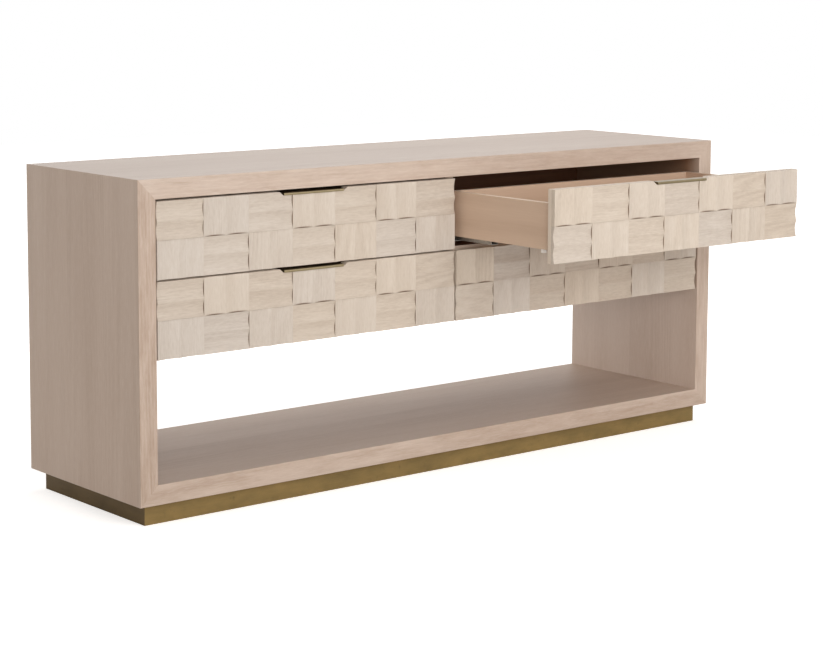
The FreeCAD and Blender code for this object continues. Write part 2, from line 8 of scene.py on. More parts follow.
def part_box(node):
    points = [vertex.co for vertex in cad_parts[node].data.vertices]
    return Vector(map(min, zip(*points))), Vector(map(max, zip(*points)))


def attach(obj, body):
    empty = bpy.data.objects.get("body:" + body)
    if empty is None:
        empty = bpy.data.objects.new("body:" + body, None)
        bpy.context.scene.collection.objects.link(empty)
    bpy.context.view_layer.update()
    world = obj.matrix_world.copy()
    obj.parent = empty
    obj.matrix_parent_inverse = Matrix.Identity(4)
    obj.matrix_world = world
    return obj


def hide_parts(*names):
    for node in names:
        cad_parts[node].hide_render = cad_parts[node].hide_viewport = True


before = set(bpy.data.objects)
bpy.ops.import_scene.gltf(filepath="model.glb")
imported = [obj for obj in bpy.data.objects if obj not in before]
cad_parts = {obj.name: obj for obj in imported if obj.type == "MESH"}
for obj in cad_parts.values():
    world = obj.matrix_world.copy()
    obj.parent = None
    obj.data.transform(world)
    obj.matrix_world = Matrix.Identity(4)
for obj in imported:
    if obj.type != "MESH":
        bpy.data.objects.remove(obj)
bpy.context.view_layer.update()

# Plinth core: planed softwood rails, glued and screwed into a low ladder frame that carries the case.
# Only their edges show, from below and between the brass facing.
PINE_STOPS = ((0.35, (178, 134, 84)), (0.8, (214, 186, 140)))
PINE_ROUGHNESS = 0.62
PINE_LOG = (0.4, 0.02, 0.09)
PINE_RINGS = (0.006, 0.012, 0.03)
PINE_RING_SHARE = 0.6
PINE_FIBRES = ((8.0, 420.0, 420.0), 3.0)
PINE_BUMP = (0.0002, 0.5)
RING_DRIFT = ((1.3, 9.0, 9.0), 3.0)


def paint(red, green, blue):
    """A colour as a paint chart gives it, 0 to 255 for each part, turned into the linear light a shader
    takes: each part divided by 255, then raised along the display curve."""
    share = np.array([red, green, blue]) / 255
    linear = np.where(share <= 0.04045, share / 12.92, ((share + 0.055) / 1.055) ** 2.4)
    return (*linear.tolist(), 1.0)


def new_finish(name, roughness=0.5):
    """A material with one Principled shader; gives the material, its node sheet and the shader."""
    material = bpy.data.materials.new(name)
    material.use_nodes = True
    shader = material.node_tree.nodes["Principled BSDF"]
    shader.inputs["Roughness"].default_value = roughness
    return material, material.node_tree, shader


def add(sheet, kind, *values, out=0, **options):
    """Puts one node on a sheet and gives its output. Values fill the input sockets in order, None leaves a
    socket as it is, and a value may be another node's output."""
    node = sheet.nodes.new("ShaderNode" + kind)
    for option, choice in options.items():
        setattr(node, option, choice)
    for socket, value in zip(node.inputs, values):
        if isinstance(value, bpy.types.NodeSocket):
            sheet.links.new(value, socket)
        elif value is not None:
            socket.default_value = value
    return node.outputs[out]


def maths(sheet, operation, *values):
    """One step of arithmetic on numbers or outputs."""
    return add(sheet, "Math", *values, operation=operation)


def parts(sheet, vector):
    """The three parts of a vector, each as an output."""
    split = sheet.nodes.new("ShaderNodeSeparateXYZ")
    sheet.links.new(vector, split.inputs[0])
    return tuple(split.outputs)


def object_place(sheet):
    """Object coordinates in metres, which are the shared frame's own."""
    return add(sheet, "TexCoord", out="Object")


def ramp(sheet, value, stops):
    """A colour ramp through stops of (position, paint colour)."""
    node = sheet.nodes.new("ShaderNodeValToRGB")
    sheet.links.new(value, node.inputs[0])
    while len(node.color_ramp.elements) < len(stops):
        node.color_ramp.elements.new(0.5)
    for element, (position, tint) in zip(node.color_ramp.elements, stops):
        element.position = position
        element.color = paint(*tint)
    return node.outputs[0]


def streaks(sheet, place, waves, detail=2.0, roughness=0.5):
    """Noise drawn out along one direction: the place is multiplied by the number of waves to a metre along,
    across and through the grain, so a small number gives long streaks. Detail counts the finer waves laid
    over them, and roughness is their strength."""
    scaled = add(sheet, "VectorMath", place, waves, operation="MULTIPLY")
    return add(sheet, "TexNoise", scaled, None, 1.0, detail, roughness)


def spread(sheet, value, low, high, to_low=0.0, to_high=1.0):
    """The value stretched from one range to another and held inside it."""
    return add(sheet, "MapRange", value, low, high, to_low, to_high)


def grain_place(sheet, order, shift=(0.0, 0.0, 0.0)):
    """Object coordinates put in the order along, across and through the grain, then shifted."""
    place = parts(sheet, object_place(sheet))
    turned = add(sheet, "CombineXYZ", *(place["XYZ".index(axis)] for axis in order))
    return add(sheet, "VectorMath", turned, shift, operation="ADD")


def rough_up(sheet, shader, height, depth, strength=1.0):
    """Carries a height from 0 to 1 to the shader as a bump of that depth in metres."""
    sheet.links.new(add(sheet, "Bump", strength, depth, None, height), shader.inputs["Normal"])


def year_rings(sheet, place, spacing, drift, taper):
    """Growth rings as a wave from 0 to 1: the distance from a pith line that leans by the taper, disturbed by
    a slow drift, is divided by the ring spacing, and its sine taken."""
    push = spread(sheet, streaks(sheet, place, *RING_DRIFT), 0.0, 1.0, -drift, drift)
    along, across, through = parts(sheet, place)
    across = maths(sheet, "ADD", across, push)
    lean = maths(sheet, "MULTIPLY_ADD", along, taper, through)
    from_pith = add(sheet, "CombineXYZ", 0.0, across, lean)
    away = add(sheet, "VectorMath", from_pith, out="Value", operation="LENGTH")
    turn = maths(sheet, "MULTIPLY", away, 2 * math.pi / spacing)
    return spread(sheet, maths(sheet, "SINE", turn), -1.0, 1.0)


def planed_pine(name, order):
    """Softwood with plain rings and fine fibres along the first direction of the order."""
    material, sheet, shader = new_finish(name, PINE_ROUGHNESS)
    place = grain_place(sheet, order, PINE_LOG)
    fibres = streaks(sheet, place, *PINE_FIBRES)
    tone = maths(sheet, "MULTIPLY_ADD", year_rings(sheet, place, *PINE_RINGS), PINE_RING_SHARE, fibres)
    sheet.links.new(ramp(sheet, tone, PINE_STOPS), shader.inputs["Base Color"])
    rough_up(sheet, shader, fibres, *PINE_BUMP)
    return material


def dress(material, *nodes):
    """Gives CAD nodes their finish."""
    for node in nodes:
        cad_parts[node].data.materials.clear()
        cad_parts[node].data.materials.append(material)


dress(planed_pine("planed_pine_long", "XYZ"), "plinth_front_rail", "plinth_rear_rail")
dress(planed_pine("planed_pine_short", "YXZ"), "plinth_cross_rails")

# Plinth facing: four strips of thin brass sheet, mitred at the corners and glued round the core.
# The brass is brushed along its length, aged to a dull olive and waxed.
PLINTH_TINTS = ((148, 122, 71), (110, 91, 51), (82, 68, 39))
PLINTH_BRUSH = ((5.0, 5.0, 800.0), 3.0, 0.6)
PLINTH_METAL = 0.3
PLINTH_GLOSS = (0.52, 0.4)
PATINA_CLOUDS, CLOUD_SPREAD = ((9.0, 9.0, 22.0), 5.0, 0.62), (0.25, 0.75, 0.0, 0.65)
PATINA_SPOTS, SPOT_SPREAD = ((60.0, 60.0, 60.0), 4.0, 0.7), (0.6, 0.78, 0.0, 0.5)
AGED_TO, BRIGHT_FROM = 0.1, 0.8
BRUSH_SHARE = 0.35
BRUSH_BUMP = (0.00006, 0.6)
# Painted shade: faces that look along x, the ends of the plinth and of the pulls, are darkened by this
# colour.
END_FACE_SHADE = (0.48, 0.45, 0.42, 1.0)
SHADED_FACING = (0.8, 0.95)


def mix_colour(sheet, share, first, second, blend="MIX"):
    """The second colour laid over the first by a share from 0 to 1."""
    node = sheet.nodes.new("ShaderNodeMix")
    node.data_type = "RGBA"
    node.blend_type = blend
    for place, value in ((0, share), (6, first), (7, second)):
        if isinstance(value, bpy.types.NodeSocket):
            sheet.links.new(value, node.inputs[place])
        else:
            node.inputs[place].default_value = value
    return node.outputs[2]


def facing(sheet):
    """The three parts of the direction in which a face looks."""
    return parts(sheet, add(sheet, "NewGeometry", out="True Normal"))


def aged_brass(name, tints, brush, metal, gloss):
    """Satin brass: long brush lines and slow clouds of patina mix three tones and set the roughness between
    two values, and faces at the ends, those that look along x, are darkened as painted shade. The metal is
    the share that still reflects as bare metal under the patina."""
    material, sheet, shader = new_finish(name)
    bright, aged, spot = tints
    place = object_place(sheet)
    lines = streaks(sheet, place, *brush)
    clouds = spread(sheet, streaks(sheet, place, *PATINA_CLOUDS), *CLOUD_SPREAD)
    tone = maths(sheet, "MULTIPLY_ADD", lines, BRUSH_SHARE, clouds)
    colour = ramp(sheet, tone, ((AGED_TO, aged), (BRIGHT_FROM, bright)))
    spots = spread(sheet, streaks(sheet, place, *PATINA_SPOTS), *SPOT_SPREAD)
    colour = mix_colour(sheet, spots, colour, paint(*spot))
    # Painted shade on the end faces.
    painted_end_shade = spread(sheet, maths(sheet, "ABSOLUTE", facing(sheet)[0]), *SHADED_FACING)
    colour = mix_colour(sheet, painted_end_shade, colour, mix_colour(sheet, 1.0, colour, END_FACE_SHADE, "MULTIPLY"))
    sheet.links.new(colour, shader.inputs["Base Color"])
    sheet.links.new(spread(sheet, tone, 0.0, 1.0, *gloss), shader.inputs["Roughness"])
    shader.inputs["Metallic"].default_value = metal
    rough_up(sheet, shader, lines, *BRUSH_BUMP)
    return material


plinth_brass = aged_brass("aged_brass_plinth", PLINTH_TINTS, PLINTH_BRUSH, PLINTH_METAL, PLINTH_GLOSS)
dress(plinth_brass, "plinth_cladding")

# Case frame: four thick panels of limed oak, mitred at the corners over hidden softwood splines and glued.
# The grain runs along each panel; lime wax lies in the open pores, under a matt lacquer.
OAK_TINTS = ((164, 139, 120), (190, 169, 153), (207, 189, 174))
OAK_STEPS = (0.1, 0.5, 0.9)
RING_FADE, FADE_SPREAD = ((0.9, 5.0, 5.0), 1.0), (0.35, 0.65)
FIBRE_LENGTH, FIBRE_DETAIL, FIBRE_SPREAD = 7.0, (4.0, 0.7), (0.2, 0.8)
FIBRE_PATCHES, PATCH_SPREAD = ((3.0, 22.0, 22.0), 2.0), (0.35, 0.65, 0.25, 1.0)
OAK_CLOUDS = ((1.5, 14.0, 14.0), 3.0)
OAK_FLECKS = ((60.0, 240.0, 240.0), 3.0, 0.6)
OAK_PORES, PORE_SPREAD = ((40.0, 1300.0, 1300.0), 1.0), (0.56, 0.7)
PORE_DIP = -0.6
LIME = (214, 202, 192)
LIME_SHARE = 0.3
# Painted shade: oak faces inside the drawer space are darkened to this brown, fading in just behind the
# front, standing in for the shade there.
INSIDE_SHADE = (162, 125, 99)
SHADE_REACH = 0.0005
SHADE_FADE = 0.02
LEAF_WIDTH = 0.16
LEAF_TONE = 0.04
LEAF_MIDDLE = (-0.12, -0.04)
LEAF_SLIDE, LEAF_DEPTH = 3.0, 0.03
PANEL_RINGS = (0.0075, 0.01, 0.012)
PANEL_FIBRES = 420.0
PANEL_SHARES, TOP_SHARES = (0.08, 0.4, 0.42, 0.1), (0.08, 0.6, 0.3, 0.2)
PANEL_PORES = 0.0001
PANEL_GLOSS, TOP_GLOSS, SHELF_GLOSS = (0.56, 0.42), (0.42, 0.32), (0.58, 0.45)
TOP_LOG, SHELF_LOG = (0.3, 0.24, -0.70), (4.1, 0.29, 0.0)
LEFT_LOG, RIGHT_LOG = (1.7, 0.26, 0.95), (2.9, 0.31, -0.83)
TOP_EDGE, SHELF_EDGE, LEFT_EDGE, RIGHT_EDGE = 0.05, -0.1, -0.12, 0.0
EDGE_DEPTH = 0.003
EDGE_STREAK = 0.45
EDGE_WAVES = ((9.0, 45.0, 60.0), 4.0, 0.65)


def about_middle(sheet, value):
    """A value from 0 to 1 moved down by a half, so that its middle is 0."""
    return maths(sheet, "ADD", value, -0.5)


def limed_oak(sheet, shader, place, tints, rings, shares, tone, fibres, pore_depth, gloss):
    """Limed oak from a place given along, across and through the grain. Rings, patchy fibres, slow clouds and
    short flecks, each by its share about the middle, and a tone of the whole piece add up to a shade between
    deep and pale, and lime whitens the pores. The fibres are counted to a metre, and the gloss gives the
    roughness of low and high fibres."""
    fade = spread(sheet, streaks(sheet, place, *RING_FADE), *FADE_SPREAD)
    wave = maths(sheet, "MULTIPLY", about_middle(sheet, rings), fade)
    fine = streaks(sheet, place, (FIBRE_LENGTH, fibres, fibres), *FIBRE_DETAIL)
    patches = spread(sheet, streaks(sheet, place, *FIBRE_PATCHES), *PATCH_SPREAD)
    strands = maths(sheet, "MULTIPLY", about_middle(sheet, fine), patches)
    clouds = about_middle(sheet, streaks(sheet, place, *OAK_CLOUDS))
    flecks = about_middle(sheet, streaks(sheet, place, *OAK_FLECKS))
    shade = maths(sheet, "ADD", tone, OAK_STEPS[1])
    for layer, share in zip((wave, strands, clouds, flecks), shares):
        shade = maths(sheet, "MULTIPLY_ADD", layer, share, shade)
    colour = ramp(sheet, shade, tuple(zip(OAK_STEPS, tints)))
    pores = spread(sheet, streaks(sheet, place, *OAK_PORES), *PORE_SPREAD)
    colour = mix_colour(sheet, maths(sheet, "MULTIPLY", pores, LIME_SHARE), colour, paint(*LIME))
    sheet.links.new(spread(sheet, fine, *FIBRE_SPREAD, *gloss), shader.inputs["Roughness"])
    rough_up(sheet, shader, maths(sheet, "MULTIPLY_ADD", pores, PORE_DIP, fine), pore_depth)
    return colour


def inside_drawer_space(sheet):
    """1 on faces in the space behind the fronts, 0 elsewhere: the walls that carry the runners give its
    width, the deck its foot and front, the partition its top, and the painted shade fades in just behind
    the front."""
    walls, deck, partition = (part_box(node) for node in ("cabinet_rails", "drawer_deck", "centre_partition"))
    x, y, z = parts(sheet, object_place(sheet))
    between = maths(sheet, "LESS_THAN", maths(sheet, "ABSOLUTE", x), walls[1][0] + SHADE_REACH)
    above = maths(sheet, "GREATER_THAN", z, deck[0][2])
    below = maths(sheet, "LESS_THAN", z, partition[1][2])
    behind = spread(sheet, y, deck[0][1] - SHADE_FADE, deck[0][1] + SHADE_FADE)
    share = maths(sheet, "MULTIPLY", between, above)
    return maths(sheet, "MULTIPLY", maths(sheet, "MULTIPLY", share, below), behind)


def on_front_edge(sheet):
    """1 on the solid lipping along the front of the frame, 0 behind it."""
    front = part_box("top_panel")[0][1]
    return maths(sheet, "LESS_THAN", parts(sheet, object_place(sheet))[1], front + EDGE_DEPTH)


def panel_oak(name, order, log, edge, shares=PANEL_SHARES, gloss=PANEL_GLOSS):
    """Veneered panel: the width is laid up in leaves, each cut from its own place in the log and a shade
    different, and the lipping in front shows broader streaks about its own edge tone."""
    material, sheet, shader = new_finish(name)
    place = grain_place(sheet, order, log)
    along, across, through = parts(sheet, place)
    leaf = maths(sheet, "FLOOR", maths(sheet, "DIVIDE", across, LEAF_WIDTH))
    pick = add(sheet, "TexWhiteNoise", None, leaf, noise_dimensions="1D")
    within = maths(sheet, "MULTIPLY_ADD", leaf, -LEAF_WIDTH, across)
    centred = maths(sheet, "ADD", within, spread(sheet, pick, 0.0, 1.0, *LEAF_MIDDLE))
    slid = maths(sheet, "MULTIPLY_ADD", pick, LEAF_SLIDE, along)
    deep = maths(sheet, "MULTIPLY_ADD", pick, LEAF_DEPTH, through)
    cut = add(sheet, "CombineXYZ", slid, centred, deep)
    leaf_tone = spread(sheet, pick, 0.0, 1.0, -LEAF_TONE, LEAF_TONE)
    streak = streaks(sheet, place, *EDGE_WAVES)
    streak = spread(sheet, streak, 0.0, 1.0, edge - EDGE_STREAK, edge + EDGE_STREAK)
    tone = maths(sheet, "MULTIPLY_ADD", streak, on_front_edge(sheet), leaf_tone)
    rings = year_rings(sheet, cut, *PANEL_RINGS)
    colour = limed_oak(sheet, shader, cut, OAK_TINTS, rings, shares, tone, PANEL_FIBRES, PANEL_PORES, gloss)
    # Painted shade on the oak faces inside the drawer space.
    colour = mix_colour(sheet, inside_drawer_space(sheet), colour, paint(*INSIDE_SHADE))
    sheet.links.new(colour, shader.inputs["Base Color"])
    return material


dress(planed_pine("planed_pine_spline", "YXZ"), "corner_splines")
dress(panel_oak("limed_oak_top", "XYZ", TOP_LOG, TOP_EDGE, TOP_SHARES, TOP_GLOSS), "top_panel")
dress(panel_oak("limed_oak_shelf", "XYZ", SHELF_LOG, SHELF_EDGE, PANEL_SHARES, SHELF_GLOSS), "base_shelf")
dress(panel_oak("limed_oak_left", "ZYX", LEFT_LOG, LEFT_EDGE), "left_side_panel")
dress(panel_oak("limed_oak_right", "ZYX", RIGHT_LOG, RIGHT_EDGE), "right_side_panel")

# Carcass: stained board let into the frame's grooves makes the deck, the partition, the dust panels and the
# back. It is seen only in the shadow behind the drawers, and from behind.
CARCASS_STOPS = ((0.5, (93, 57, 36)), (1.0, (125, 80, 52)))
CARCASS_ROUGHNESS = 0.6
CARCASS_BANDS = ((1.6, 26.0, 26.0), 4.0)
CARCASS_FIBRES = ((9.0, 380.0, 380.0), 3.0)
CARCASS_FIBRE_SHARE = 0.5
CARCASS_BUMP = (0.0002, 0.5)
LIPPING = (190, 172, 157)
LIP_DEPTH = 0.005


def stained_board(name, order):
    """Stained board with a lipped front edge: long soft streaks over fine fibres between two browns, and pale
    wood where the place lies within the lipping's depth of the carcass front."""
    material, sheet, shader = new_finish(name, CARCASS_ROUGHNESS)
    place = grain_place(sheet, order)
    bands = streaks(sheet, place, *CARCASS_BANDS)
    fibres = streaks(sheet, place, *CARCASS_FIBRES)
    tone = maths(sheet, "MULTIPLY_ADD", fibres, CARCASS_FIBRE_SHARE, bands)
    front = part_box("drawer_deck")[0][1]
    lipped = maths(sheet, "LESS_THAN", parts(sheet, object_place(sheet))[1], front + LIP_DEPTH)
    colour = mix_colour(sheet, lipped, ramp(sheet, tone, CARCASS_STOPS), paint(*LIPPING))
    sheet.links.new(colour, shader.inputs["Base Color"])
    rough_up(sheet, shader, fibres, *CARCASS_BUMP)
    return material


dress(stained_board("stained_board_wide", "XYZ"),
      "drawer_deck", "left_dust_panel", "right_dust_panel", "back_panel")
dress(stained_board("stained_board_deep", "YZX"), "centre_partition")

# Runners: three zinc plated steel members to a side. The outer one is fixed in the case, the middle one rolls
# half as far as the drawer, and the inner one is screwed under the drawer bottom.
ZINC_STOPS = ((0.3, (146, 143, 138)), (1.0, (184, 180, 173)))
ZINC_CRYSTALS = 240.0
ZINC_CRYSTAL_SHARE = 0.5
ZINC_LINES = ((900.0, 6.0, 900.0), 2.0)
ZINC_TONES, ZINC_GLOSS = (0.3, 1.0), (0.58, 0.44)
ZINC_BUMP = (0.00004, 0.5)
DRAWERS = ("upper_left", "upper_right", "lower_left", "lower_right")


def zinc_plate():
    """Rolled steel with a thin zinc coat: small crystal patches and faint roll lines change tone and
    gloss."""
    material, sheet, shader = new_finish("zinc_plated_steel")
    place = object_place(sheet)
    patch = add(sheet, "RGBToBW", add(sheet, "TexVoronoi", place, None, ZINC_CRYSTALS, out="Color"))
    lines = streaks(sheet, place, *ZINC_LINES)
    tone = maths(sheet, "MULTIPLY_ADD", patch, ZINC_CRYSTAL_SHARE, lines)
    sheet.links.new(ramp(sheet, tone, ZINC_STOPS), shader.inputs["Base Color"])
    sheet.links.new(spread(sheet, tone, *ZINC_TONES, *ZINC_GLOSS), shader.inputs["Roughness"])
    shader.inputs["Metallic"].default_value = 1.0
    rough_up(sheet, shader, lines, *ZINC_BUMP)
    return material


zinc = zinc_plate()
dress(zinc, "cabinet_rails")
for drawer in DRAWERS:
    dress(zinc, f"{drawer}_drawer_rails", f"{drawer}_middle_rails", f"{drawer}_front_screws")

# Drawer boxes: smooth tan lacquered wood, rebated and glued at the corners, with the bottom let into grooves.
# The grain is filled, so only soft streaks show through the lacquer.
BOX_STOPS = ((0.3, (188, 159, 136)), (1.0, (214, 188, 165)))
# Painted highlight: faces of the box that look up are made paler towards this colour.
BOX_RIM_HIGHLIGHT = (232, 210, 188)
HIGHLIGHT_SHARE = 0.8
HIGHLIGHT_FACING = (0.8, 0.9)
BOX_BANDS = ((1.1, 16.0, 16.0), 3.0)
BOX_FIBRES = ((10.0, 520.0, 520.0), 3.0, 0.6)
BOX_FIBRE_SHARE = 0.3
BOX_GLOSS = (0.52, 0.42)
BOX_BUMP = (0.0001, 0.4)
BOX_SIDE_LOG, BOX_END_LOG, BOX_BOTTOM_LOG = (0.7, 0.0, 0.3), (0.2, 0.1, 0.0), (0.0, 0.5, 0.2)


def box_lacquer(name, order, log, rim):
    """Tan lacquer over filled wood: soft streaks and faint fibres between two tans, and faces that look up
    are paler by the rim's share, a painted highlight along the top edges."""
    material, sheet, shader = new_finish(name)
    place = grain_place(sheet, order, log)
    bands = streaks(sheet, place, *BOX_BANDS)
    fibres = streaks(sheet, place, *BOX_FIBRES)
    tone = maths(sheet, "MULTIPLY_ADD", fibres, BOX_FIBRE_SHARE, bands)
    # Painted highlight on the faces that look up.
    painted_highlight = spread(sheet, facing(sheet)[2], *HIGHLIGHT_FACING, 0.0, rim)
    colour = mix_colour(sheet, painted_highlight, ramp(sheet, tone, BOX_STOPS), paint(*BOX_RIM_HIGHLIGHT))
    sheet.links.new(colour, shader.inputs["Base Color"])
    sheet.links.new(spread(sheet, fibres, *FIBRE_SPREAD, *BOX_GLOSS), shader.inputs["Roughness"])
    rough_up(sheet, shader, fibres, *BOX_BUMP)
    return material


# Sides and ends get the painted highlight on their top edges; the bottom gets none.
side_lacquer = box_lacquer("box_lacquer_sides", "YZX", BOX_SIDE_LOG, HIGHLIGHT_SHARE)
end_lacquer = box_lacquer("box_lacquer_ends", "XZY", BOX_END_LOG, HIGHLIGHT_SHARE)
bottom_lacquer = box_lacquer("box_lacquer_bottom", "XYZ", BOX_BOTTOM_LOG, 0.0)
for drawer in DRAWERS:
    dress(side_lacquer, f"{drawer}_box_sides")
    dress(end_lacquer, f"{drawer}_box_front", f"{drawer}_box_back")
    dress(bottom_lacquer, f"{drawer}_box_bottom")

# Front clips: a moulded white clip under each front corner of a box locks the drawer to its runners.
# It is screwed to the bottom, and its lever lets the drawer go.
CLIP_STOPS = ((0.2, (232, 231, 228)), (0.7, (248, 247, 244)))
CLIP_ROUGHNESS = 0.42
CLIP_CLOUDS = ((90.0, 90.0, 90.0), 3.0)
CLIP_PEEL = ((1600.0, 1600.0, 1600.0), 1.0)
CLIP_BUMP = (0.00003, 0.5)


def moulded_white():
    """White moulded plastic: faint flow clouds and a fine orange-peel bump."""
    material, sheet, shader = new_finish("moulded_white", CLIP_ROUGHNESS)
    place = object_place(sheet)
    clouds = streaks(sheet, place, *CLIP_CLOUDS)
    sheet.links.new(ramp(sheet, clouds, CLIP_STOPS), shader.inputs["Base Color"])
    rough_up(sheet, shader, streaks(sheet, place, *CLIP_PEEL), *CLIP_BUMP)
    return material


white_clip = moulded_white()
for drawer in DRAWERS:
    dress(white_clip, f"{drawer}_clips")

# Front boards: a flat board behind the blocks of each front, edged in the same limed oak.
# Two screws from inside the box hold it.
CORE_TINTS = ((188, 170, 152), (213, 198, 181), (225, 212, 197))
CORE_RINGS = (0.0075, 0.01, 0.01)
CORE_LOG = (0.6, -0.3, 0.4)


def board_oak():
    """Limed oak of the boards, with the grain along the drawer."""
    material, sheet, shader = new_finish("limed_oak_board")
    place = grain_place(sheet, "XZY", CORE_LOG)
    rings = year_rings(sheet, place, *CORE_RINGS)
    colour = limed_oak(sheet, shader, place, CORE_TINTS, rings, PANEL_SHARES, 0.0,
                       PANEL_FIBRES, PANEL_PORES, PANEL_GLOSS)
    sheet.links.new(colour, shader.inputs["Base Color"])
    return material


core_oak = board_oak()
for drawer in DRAWERS:
    dress(core_oak, f"{drawer}_front_board")

# Face blocks: solid limed oak, fourteen to a front, each with two shallow hollows worked along its grain.
# Neighbours are turned a quarter, so their wavy ends meet straight edges; all edges are eased by hand.
BLOCK_TINTS = ((170, 153, 138), (196, 182, 168), (211, 200, 189))
BLOCK_SHARES = (0.14, 0.65, 0.18, 0.45)
BLOCK_RINGS = (0.0062, 0.006, 0.01)
BLOCK_FIBRES = 360.0
BLOCK_PORES = 0.00012
BLOCK_TONE = 0.035
# Painted sheen: upright blocks a shade lighter and level blocks a shade darker, standing in for how their
# grain catches the light.
UPRIGHT_SHEEN, LEVEL_SHEEN = 0.035, -0.04
COOL_BLOCK, WARM_BLOCK = (0.975, 1.0, 1.03, 1.0), (1.015, 1.0, 0.96, 1.0)
COLUMNS, ROWS, HOLLOWS = 7, 2, 2
BLOCK_JOINT = 0.0002
BLOCK_THICK = 0.012
BLOCK_SUNK = 0.0006
HOLLOW_DEPTH = 0.0045
SHALLOWEST = 0.9
HOLLOW_LAND = 0.001
HOLLOW_LINES, LENGTH_LINES = 13, 9
CREST_SOFT = 0.0005
CREST_LEAN = 0.003
EDGE_EASE = 0.0005
EASE_LINES = EDGE_EASE * np.array([0.0, 0.12, 0.35, 0.65, 1.0])
SHARP_EDGE = math.radians(38)
# Painted shade in the joints: joint walls and the foot of joined hollows are darkened towards this brown,
# fully at the given depth, standing in for the shade that falls there.
PAINTED_JOINT_SHADE = (112, 88, 68)
JOINT_SHADE_FULL = 0.003
SHADE_LINES = np.array([0.001, 0.002, 0.0035])
SHADE_CREEP = 0.0035
GRAIN_TILT = 0.06
GRAIN_SLOPE = 0.015
LOG_LENGTH, LOG_ACROSS, LOG_THROUGH = (0, 40), (-0.13, 0.01), (0.015, 0.07)
NOTCH_TOP, NOTCH_FLOOR, NOTCH_DEPTH = 0.194, 0.170, 0.0088
chance = np.random.default_rng(41)


def block_oak():
    """Limed oak of the blocks: the attribute grain gives each point's place in its own piece of wood, the
    attributes shade and warmth set the tone of the whole block, with a painted sheen that makes level
    blocks darker than upright ones, and the joint attribute paints shade on the joint walls, darker with
    depth."""
    material, sheet, shader = new_finish("limed_oak_blocks")
    place = add(sheet, "Attribute", out="Vector", attribute_name="grain")
    shade, warmth, depth = (add(sheet, "Attribute", out="Fac", attribute_name=name)
                            for name in ("shade", "warmth", "joint_shade"))
    rings = year_rings(sheet, place, *BLOCK_RINGS)
    colour = limed_oak(sheet, shader, place, BLOCK_TINTS, rings, BLOCK_SHARES, shade,
                       BLOCK_FIBRES, BLOCK_PORES, PANEL_GLOSS)
    colour = mix_colour(sheet, 1.0, colour, mix_colour(sheet, warmth, COOL_BLOCK, WARM_BLOCK), "MULTIPLY")
    # Painted joint shade: the colour is darkened towards the brown by the joint attribute.
    colour = mix_colour(sheet, spread(sheet, depth, 0.0, JOINT_SHADE_FULL), colour, paint(*PAINTED_JOINT_SHADE))
    sheet.links.new(colour, shader.inputs["Base Color"])
    return material


def grid_lines(size, *lines):
    """Grid lines in order, each once to a tenth of a micrometre: the given ones, and those of the eased
    edges at both ends."""
    return np.unique(np.round(np.concatenate([*lines, EASE_LINES, size - EASE_LINES]), 7))


def lines_across(size):
    """Grid lines across the hollows: close together at the lands and wide apart in the hollows, by a cosine
    over each hollow."""
    wave = 0.5 - 0.5 * np.cos(np.linspace(0, math.pi, HOLLOW_LINES))
    return grid_lines(size, ((np.arange(HOLLOWS)[:, None] + wave) * size / HOLLOWS).ravel())


def lines_along(size, marks=()):
    """Grid lines along the hollows: even steps, close lines above the foot where shade is painted, and any
    marks that fall inside."""
    inner = [mark for mark in marks if 2 * EDGE_EASE < mark < size - 2 * EDGE_EASE]
    return grid_lines(size, np.linspace(0, size, LENGTH_LINES), inner, SHADE_LINES)


def hollow(across, size, depth, lean):
    """Depth of the hollows below the crests: over each hollow a circular dish, taken as a parabola, with the
    middle crest shifted by the lean, and the crests rounded by a hyperbola."""
    bent = across + lean * np.sin(math.pi * across / size)
    pitch = size / HOLLOWS
    from_middle = np.abs(np.mod(bent, pitch) - pitch / 2) / (pitch / 2 - HOLLOW_LAND / 2)
    dish = depth * np.clip(1 - from_middle ** 2, 0, None)
    return np.sqrt(dish ** 2 + CREST_SOFT ** 2) - CREST_SOFT


def eased(distance):
    """How far an eased edge falls back: a quarter circle over the last part before the edge."""
    inside = np.clip(EDGE_EASE - distance, 0, EDGE_EASE)
    return EDGE_EASE - np.sqrt(EDGE_EASE ** 2 - inside ** 2)


def notch_line(across, crown):
    """Height of a front's top line at a distance from the drawer's middle: the crown, or the notch's slope
    and floor where the pull lies."""
    slope = (NOTCH_TOP - NOTCH_FLOOR) / 2
    return crown - NOTCH_DEPTH * np.clip((NOTCH_TOP / 2 - np.abs(across)) / slope, 0, 1)


def grid_quads(wide, tall):
    """The point numbers of a grid and the corners of its quads: a point, the next one across, the one above
    that, and the one above the point."""
    number = np.arange(wide * tall).reshape(wide, tall)
    corners = (number[:-1, :-1], number[1:, :-1], number[1:, 1:], number[:-1, 1:])
    return number, np.stack(corners, axis=-1).reshape(-1, 4)


